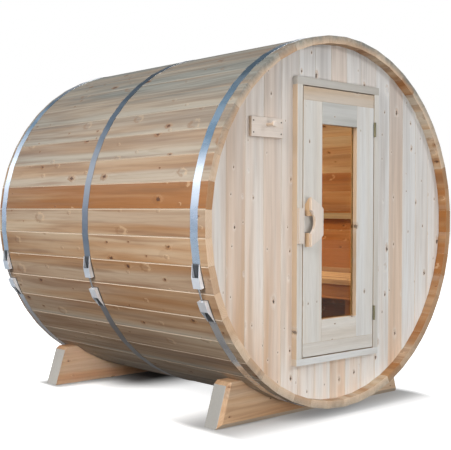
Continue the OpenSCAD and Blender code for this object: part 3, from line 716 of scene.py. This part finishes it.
wallBoards = {
    "pitch": 0.117,
    "firstJoint": 0.302,  # a joint just right of the door frame, the others follow the pitch
    "joint": 0.0003,
    "groove": 0.0028,
    "tuck": 0.004,  # how far the boards reach into the groove of the staves
    "endPlay": 0.002,
    "looseTones": (0.1, 0.6),  # of boards without a tone of their own
    "weather": (0.85, 0.8, 0.85),  # height from which the boards grey and darken, partly weathering and partly painted shade, the slope and its most
    "tones": {-10: 0.5, -9: 0.82, -8: 0.6, -7: 0.8, -6: 0.55, -5: 0.35, -4: 0.3, -3: 0.75, -2: 0.3,
        -1: 0.5, 0: 0.2, 1: 0.82, 2: 0.02, 3: 0.05, 4: 0.12},
}


def wallOutline(radius):
    # corners of the barrel's inside, at the given distance to its flats
    corner = radius / math.cos(staveAngle / 2)
    turns = [math.pi / 2 + k * staveAngle for k in range(barrel["staves"])]
    return [(corner * math.cos(a), corner * math.sin(a)) for a in turns]


def edgeHeight(outline, x, upper):
    # height of the outline above or below x, measured from the axis
    best = None
    for (ax, az), (bx, bz) in zip(outline, outline[1:] + outline[:1]):
        if (az + bz > 0) != upper or abs(ax - bx) < 1e-9 or not min(ax, bx) <= x <= max(ax, bx):
            continue
        best = az + (bz - az) * (x - ax) / (bx - ax)
    return best


def boardShape(outline, left, right):
    # a board from the lower to the upper rim, corners in order
    inner = [c for c in outline if left < c[0] < right]
    low = sorted([c for c in inner if c[1] < 0])
    high = sorted([c for c in inner if c[1] > 0], reverse=True)
    shape = [(left, edgeHeight(outline, left, False)), *low, (right, edgeHeight(outline, right, False))]
    return shape + [(right, edgeHeight(outline, right, True)), *high, (left, edgeHeight(outline, left, True))]


def cutLevel(shape, level, keepAbove):
    # keeps the part of a board above or below a level
    kept = []
    for (ax, az), (bx, bz) in zip(shape, shape[1:] + shape[:1]):
        inside = (az >= level) == keepAbove
        other = (bz >= level) == keepAbove
        if inside:
            kept.append((ax, az))
        if inside != other:
            kept.append((ax + (bx - ax) * (level - az) / (bz - az), level))
    return kept


def notchShape(outline, left, right, edge, low, high, doorOnRight):
    # a board beside the doorway with a notch round the frame's side
    whole = boardShape(outline, left, right)
    bottom = [c for c in whole if c[1] < 0]
    top = [c for c in whole if c[1] > 0]
    if doorOnRight:
        return bottom + [(right, low), (edge, low), (edge, high), (right, high)] + top
    return bottom + top + [(left, high), (edge, high), (edge, low), (left, low)]


def addBoardSolid(bm, shape, front, back, left, right, groove):
    height = barrel["axisHeight"]
    near = [bm.verts.new((x, front, z + height)) for x, z in shape]
    far = [bm.verts.new((x, back, z + height)) for x, z in shape]
    bm.faces.new(near)
    bm.faces.new(list(reversed(far)))
    count = len(shape)
    for i in range(count):
        j = (i + 1) % count
        bm.faces.new((near[j], near[i], far[i], far[j]))
    sides = []
    for ring in (near, far):
        for i in range(count):
            a, b = ring[i], ring[(i + 1) % count]
            onSide = min(abs(a.co.x - left), abs(a.co.x - right)) < 1e-6
            if onSide and abs(a.co.x - b.co.x) < 1e-6:
                sides.append(bm.edges.get((a, b)))
    bmesh.ops.bevel(bm, geom=sides, offset=groove, segments=2, profile=0.5, affect="EDGES",
        clamp_overlap=True)


def wallTone(centre, draw):
    number = math.floor((centre.x - wallBoards["firstJoint"]) / wallBoards["pitch"])
    loose = draw.uniform(*wallBoards["looseTones"])
    return wallBoards["tones"].get(number, loose) if centre.y < 0 else loose


# the boards grey and darken towards the top, partly from weathering and partly as painted shade
def wallWeatherAndShade(place):
    start, slope, most = wallBoards["weather"]
    return max(0.0, min(most, slope * (place.z - start)))


def makeWalls(values):
    outline = wallOutline(barrel["innerRadius"] + values["tuck"])
    headBox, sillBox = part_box("door_head"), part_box("door_sill")
    doorLeft, doorRight = headBox[0][0], headBox[1][0]
    low = sillBox[0][2] - barrel["axisHeight"]
    high = headBox[1][2] - barrel["axisHeight"]
    front = [corner[1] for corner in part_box("front_wall_left")]
    rear = [corner[1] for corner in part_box("back_wall")]
    parts = {name: bmesh.new() for name in ("Left", "Right", "Over", "Under", "Back")}

    def addBoard(part, shape, depth, left, right):
        addBoardSolid(parts[part], shape, *depth, left, right, values["groove"])

    reach = max(x for x, z in outline) - values["endPlay"]
    number = math.floor((-reach - values["firstJoint"]) / values["pitch"])
    while values["firstJoint"] + number * values["pitch"] < reach:
        left = values["firstJoint"] + number * values["pitch"] + values["joint"]
        right = left + values["pitch"] - 2 * values["joint"]
        left, right = max(left, -reach), min(right, reach)
        whole = boardShape(outline, left, right)
        addBoard("Back", whole, rear, left, right)
        if right <= doorLeft or left >= doorRight:
            addBoard("Left" if right <= doorLeft else "Right", whole, front, left, right)
        elif left < doorLeft:
            shape = notchShape(outline, left, right, doorLeft, low, high, True)
            addBoard("Left", shape, front, left, right)
        elif right > doorRight:
            shape = notchShape(outline, left, right, doorRight, low, high, False)
            addBoard("Right", shape, front, left, right)
        else:
            addBoard("Over", cutLevel(whole, high, True), front, left, right)
            addBoard("Under", cutLevel(whole, low, False), front, left, right)
        number += 1
    nodes = {"Left": "front_wall_left", "Right": "front_wall_right", "Over": "front_wall_over_door",
        "Under": "front_wall_under_door", "Back": "back_wall"}
    for seed, (part, bm) in enumerate(parts.items()):
        storeGrain(bm, random.Random(40 + seed), boardAxes("Z", "X"), wallTone, wallWeatherAndShade)
        addPiece("wallBoards" + part, bm, woods["wall_boards"], "barrel", [nodes[part]])


makeWalls(wallBoards)
print("end walls ready")

# door frame, door leaf, handle and the fittings inside, each with its own grain direction

boards = [
    # node, piece, finish, along, across, lowest tone, highest tone, greyness, eased edge, body
    ("door_jamb_left", "doorJambLeft", "door_wood", "Z", "X", 0.25, 0.35, 0.05, 0.0015, "barrel"),
    ("door_jamb_right", "doorJambRight", "door_wood", "Z", "X", 0.3, 0.4, 0.15, 0.0015, "barrel"),
    ("door_head", "doorHead", "door_wood", "X", "Z", 0.55, 0.65, 0.65, 0.0015, "barrel"),
    ("door_sill", "doorSill", "door_wood", "X", "Z", 0.0, 0.05, 0.0, 0.002, "barrel"),
    ("door_stops", "doorStops", "door_wood", "Z", "X", 0.3, 0.4, 0.2, 0.001, "barrel"),
    ("door_stile_left", "doorStileLeft", "door_wood", "Z", "X", 0.26, 0.3, 0.0, 0.0018, "door"),
    ("door_stile_right", "doorStileRight", "door_wood", "Z", "X", 0.12, 0.18, 0.0, 0.0018, "door"),
    ("door_top_rail", "doorTopRail", "door_wood", "X", "Z", 0.75, 0.8, 0.15, 0.0018, "door"),
    ("door_upper_rail", "doorUpperRail", "door_wood", "X", "Z", 0.25, 0.3, 0.85, 0.0018, "door"),
    ("door_lower_rail", "doorLowerRail", "door_wood", "X", "Z", 0.46, 0.5, 0.0, 0.0018, "door"),
    ("door_bottom_rail", "doorBottomRail", "door_wood", "X", "Z", 0.44, 0.48, 0.0, 0.0018, "door"),
    ("door_handle_grip", "handleGrip", "handle_wood", "Z", "X", 0.0, 0.1, 0.1, 0.003, "door"),
    ("door_handle_blocks", "handleBlocks", "handle_wood", "Z", "X", 0.85, 0.95, 0.0, 0.0015, "door"),
    ("latch_keeper", "latchKeeper", "handle_wood", "Z", "X", 0.0, 0.1, 0.5, 0.002, "barrel"),
    ("towel_hook", "towelHook", "handle_wood", "X", "Z", 0.0, 0.1, 0.1, 0.0015, "barrel"),
    ("bench_left", "benchLeft", "bench_wood", "Y", "X", 0.0, 0.15, 0.0, 0.003, "barrel"),
    ("bench_right", "benchRight", "bench_wood", "Y", "X", 0.0, 0.15, 0.0, 0.003, "barrel"),
    ("bench_supports", "benchSupports", "bench_wood", "X", "Y", 0.4, 0.7, 0.0, 0.002, "barrel"),
    ("backrests", "backrests", "bench_wood", "Y", "Z", 0.1, 0.3, 0.85, 0.003, "barrel"),
    ("floor_boards", "floorBoards", "bench_wood", "Y", "X", 0.4, 0.7, 0.0, 0.003, "barrel"),
    ("floor_bearers", "floorBearers", "bench_wood", "X", "Y", 0.4, 0.7, 0.0, 0.002, "barrel"),
    ("cradle_front", "cradleFront", "cradle_wood", "X", "Z", 0.55, 0.6, 0.0, 0.004, "barrel"),
    ("cradle_back", "cradleBack", "cradle_wood", "X", "Z", 0.55, 0.65, 0.0, 0.004, "barrel"),
]


benchFrontPaintedShade = {"below": 0.035, "darker": 0.55}


def boardTone(node, low, high):
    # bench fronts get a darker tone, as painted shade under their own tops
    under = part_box(node)[1][2] - benchFrontPaintedShade["below"]

    def toneOf(centre, draw):
        loose = draw.uniform(low, high)
        return loose + benchFrontPaintedShade["darker"] if node.startswith("bench_") and centre.z < under else loose

    return toneOf


def evenWeather(greyness):
    return lambda place: greyness


for seed, (node, piece, slot, along, across, low, high, greyness, edge, body) in enumerate(boards):
    carveNode(node, piece, slot, boardAxes(along, across), boardTone(node, low, high), edge, body,
        weatherOf=evenWeather(greyness), seed=100 + seed)
print("boards ready")

# metal and glass on the frame's own nodes

tensioner = {
    "hollow": barrel["outerRadius"] + 0.006,  # the fold is open below this radius, where painted shade darkens it
    "hollowEdge": 0.002,
    "hollowPaintedShade": 0.1,
    "angle": math.radians(19.5),  # below the horizontal
    "rodHalf": 0.0285,
    "rodDarkening": 0.35,
}
pane = {
    "tint": (0.92, 0.82, 0.66),
    "gloss": (1, 0.9, 0.76),
    "roughness": 0.03,
    "mirror": (4.0, 0.5, 0.03),  # how late a slanting view turns it to a mirror, its most and its least
}


def offAxis(tree, place):
    # from the barrel's axis straight out to a place
    flat = put(tree, "VectorMath", {0: place, 1: axisPoint}, operation="SUBTRACT")
    return put(tree, "VectorMath", {0: flat.outputs[0], 1: (1, 0, 1)}, operation="MULTIPLY").outputs[0]


def roundNormal(tree, place):
    # the outward direction of a strap bent evenly round the barrel, kept off its narrow sides
    outward = put(tree, "VectorMath", {0: offAxis(tree, place)}, operation="NORMALIZE").outputs[0]
    true = put(tree, "NewGeometry").outputs["Normal"]
    facing = put(tree, "VectorMath", {0: outward, 1: true}, operation="DOT_PRODUCT").outputs["Value"]
    bent = put(tree, "Mix", {0: step(tree, facing, 0.8, 0.95), 4: true, 5: outward}, data_type="VECTOR")
    return bent.outputs[1]


def steelMaterial(name, colour, roughness, metallic=1.0, tension=None, bent=False):
    # rolled steel; the tensioners' folded brackets get painted shade in their hollow, and the rod between
    # them is darker
    material, tree, out = newMaterial(name)
    place = put(tree, "TexCoord").outputs["Object"]
    wide = put(tree, "Mapping", {"Vector": place, "Scale": (6, 2, 6)})
    cloud = put(tree, "TexNoise", {"Vector": wide.outputs[0], "Scale": 2.0, "Detail": 3.0})
    amount = step(tree, cloud.outputs["Fac"], 0.3, 0.7, 0.86, 1.06)
    if tension:
        flat = offAxis(tree, place)
        radius = put(tree, "VectorMath", {0: flat}, operation="LENGTH").outputs["Value"]
        hollow, soft, half = tension["hollow"], tension["hollowEdge"], tension["rodHalf"]
        # painted shade inside the folded hollow
        foldPaintedShade = step(tree, radius, hollow, hollow + soft, tension["hollowPaintedShade"], 1.0)
        tangent = (math.sin(tension["angle"]), 0, -math.cos(tension["angle"]))
        along = put(tree, "VectorMath", {0: flat, 1: tangent}, operation="DOT_PRODUCT")
        along = calc(tree, "ABSOLUTE", along.outputs["Value"])
        # darker along the rod between the brackets
        onRod = step(tree, along, half - soft, half, tension["rodDarkening"], 1.0)
        amount = calc(tree, "MULTIPLY", calc(tree, "MULTIPLY", amount, foldPaintedShade), onRod)
    tint = put(tree, "VectorMath", {0: colour, "Scale": amount}, operation="SCALE").outputs[0]
    rough = step(tree, cloud.outputs["Fac"], 0.3, 0.7, roughness - 0.05, roughness + 0.07)
    shader = put(tree, "BsdfPrincipled", {"Base Color": tint, "Roughness": rough, "Metallic": metallic})
    if bent:
        tree.links.new(roundNormal(tree, place), shader.inputs["Normal"])
    tree.links.new(shader.outputs[0], out.inputs[0])
    return material


def glassMaterial(name, values):
    # bronze pane: clear to light, with a plain reflection on its face
    material, tree, out = newMaterial(name)
    clear = put(tree, "BsdfTransparent", {"Color": (*values["tint"], 1)})
    gloss = put(tree, "BsdfGlossy", {"Roughness": values["roughness"], "Color": (*values["gloss"], 1)})
    facing = put(tree, "LayerWeight", {"Blend": 0.5}).outputs["Facing"]
    power, most, least = values["mirror"]
    amount = calc(tree, "MULTIPLY_ADD", calc(tree, "POWER", facing, power), most, least)
    both = put(tree, "MixShader", {0: amount, 1: clear.outputs[0], 2: gloss.outputs[0]})
    tree.links.new(both.outputs[0], out.inputs[0])
    return material


metals = {
    "band_steel": steelMaterial("band_steel", (0.76, 0.80, 0.85), 0.24, bent=True),
    "band_dull": steelMaterial("band_dull", (0.34, 0.355, 0.385), 0.38, bent=True),
    "tension_steel": steelMaterial("tension_steel", (0.88, 0.91, 0.96), 0.42, 0.55, tensioner),
    "bronze": steelMaterial("bronze", (0.20, 0.18, 0.11), 0.42),
    "screws": steelMaterial("screws", (0.16, 0.14, 0.12), 0.5),
}
metalNodes = {"band_front": "band_steel", "band_middle": "band_dull", "band_back": "band_steel",
    "tensioner_front": "tension_steel", "tensioner_middle": "tension_steel",
    "tensioner_back": "tension_steel", "hinges_on_frame": "bronze", "hinges_on_door": "bronze"}


metalEdge = {"width": 0.0006, "segments": 2, "sharp": 30}


def dress(node, material, edge=None):
    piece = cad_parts[node]
    piece.data.materials.clear()
    piece.data.materials.append(material)
    if edge:
        ease = piece.modifiers.new("eased", "BEVEL")
        ease.width = edge["width"]
        ease.segments = edge["segments"]
        ease.limit_method = "ANGLE"
        ease.angle_limit = math.radians(edge["sharp"])


for node, metal in metalNodes.items():
    dress(node, metals[metal], metalEdge)
dress("door_glass", glassMaterial("tinted_glass", pane))

# screw heads with a round drive recess, on the hook board and through the bench slats

screws = {
    # radius and height of each ring of a head, from the wood up and into the drive
    "rings": [(0.0040, -0.0006), (0.0040, 0.0004), (0.0030, 0.0011), (0.0016, 0.0012), (0.0014, 0.0002)],
    "sides": 12,
    "hookEdge": (0.013, 0.018),
    "hookBoard": 0.018,  # thickness of the board that they hold
    "pairHalf": 0.018,
    "slats": 4,
    "slatGap": 0.012,
    "bearers": (0.12, 0.5, 0.88),
}


def addScrew(bm, place, outward):
    turn = Vector(outward).to_track_quat("Z", "Y")
    rings = []
    for radius, height in screws["rings"]:
        ring = []
        for i in range(screws["sides"]):
            angle = 2 * math.pi * i / screws["sides"]
            local = Vector((radius * math.cos(angle), radius * math.sin(angle), height))
            ring.append(bm.verts.new(Vector(place) + turn @ local))
        rings.append(ring)
    for low, high in zip(rings, rings[1:]):
        for i in range(screws["sides"]):
            j = (i + 1) % screws["sides"]
            bm.faces.new((low[i], low[j], high[j], high[i]))
    bm.faces.new(rings[-1])
    bm.faces.new(list(reversed(rings[0])))


def makeHookScrews(values):
    low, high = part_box("towel_hook")
    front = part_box("front_wall_left")[0][1] - values["hookBoard"]
    bm = bmesh.new()
    inX, inZ = values["hookEdge"]
    for x in (low[0] + inX, high[0] - inX):
        for z in (low[2] + inZ, high[2] - inZ):
            addScrew(bm, (x, front, z), (0, -1, 0))
    addPiece("hookScrews", bm, metals["screws"], "barrel", [])


def makeBenchScrews(values):
    bm = bmesh.new()
    for node in ("bench_left", "bench_right"):
        low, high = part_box(node)
        pitch = (high[0] - low[0] + values["slatGap"]) / values["slats"]
        for i in range(values["slats"]):
            x = low[0] + pitch * (i + 0.5) - values["slatGap"] / 2
            for share in values["bearers"]:
                y = low[1] + share * (high[1] - low[1])
                for side in (-values["pairHalf"], values["pairHalf"]):
                    addScrew(bm, (x + side, y, high[2]), (0, 0, 1))
    addPiece("benchScrews", bm, metals["screws"], "barrel", [])


makeHookScrews(screws)
makeBenchScrews(screws)
print("metal, glass and screws ready")
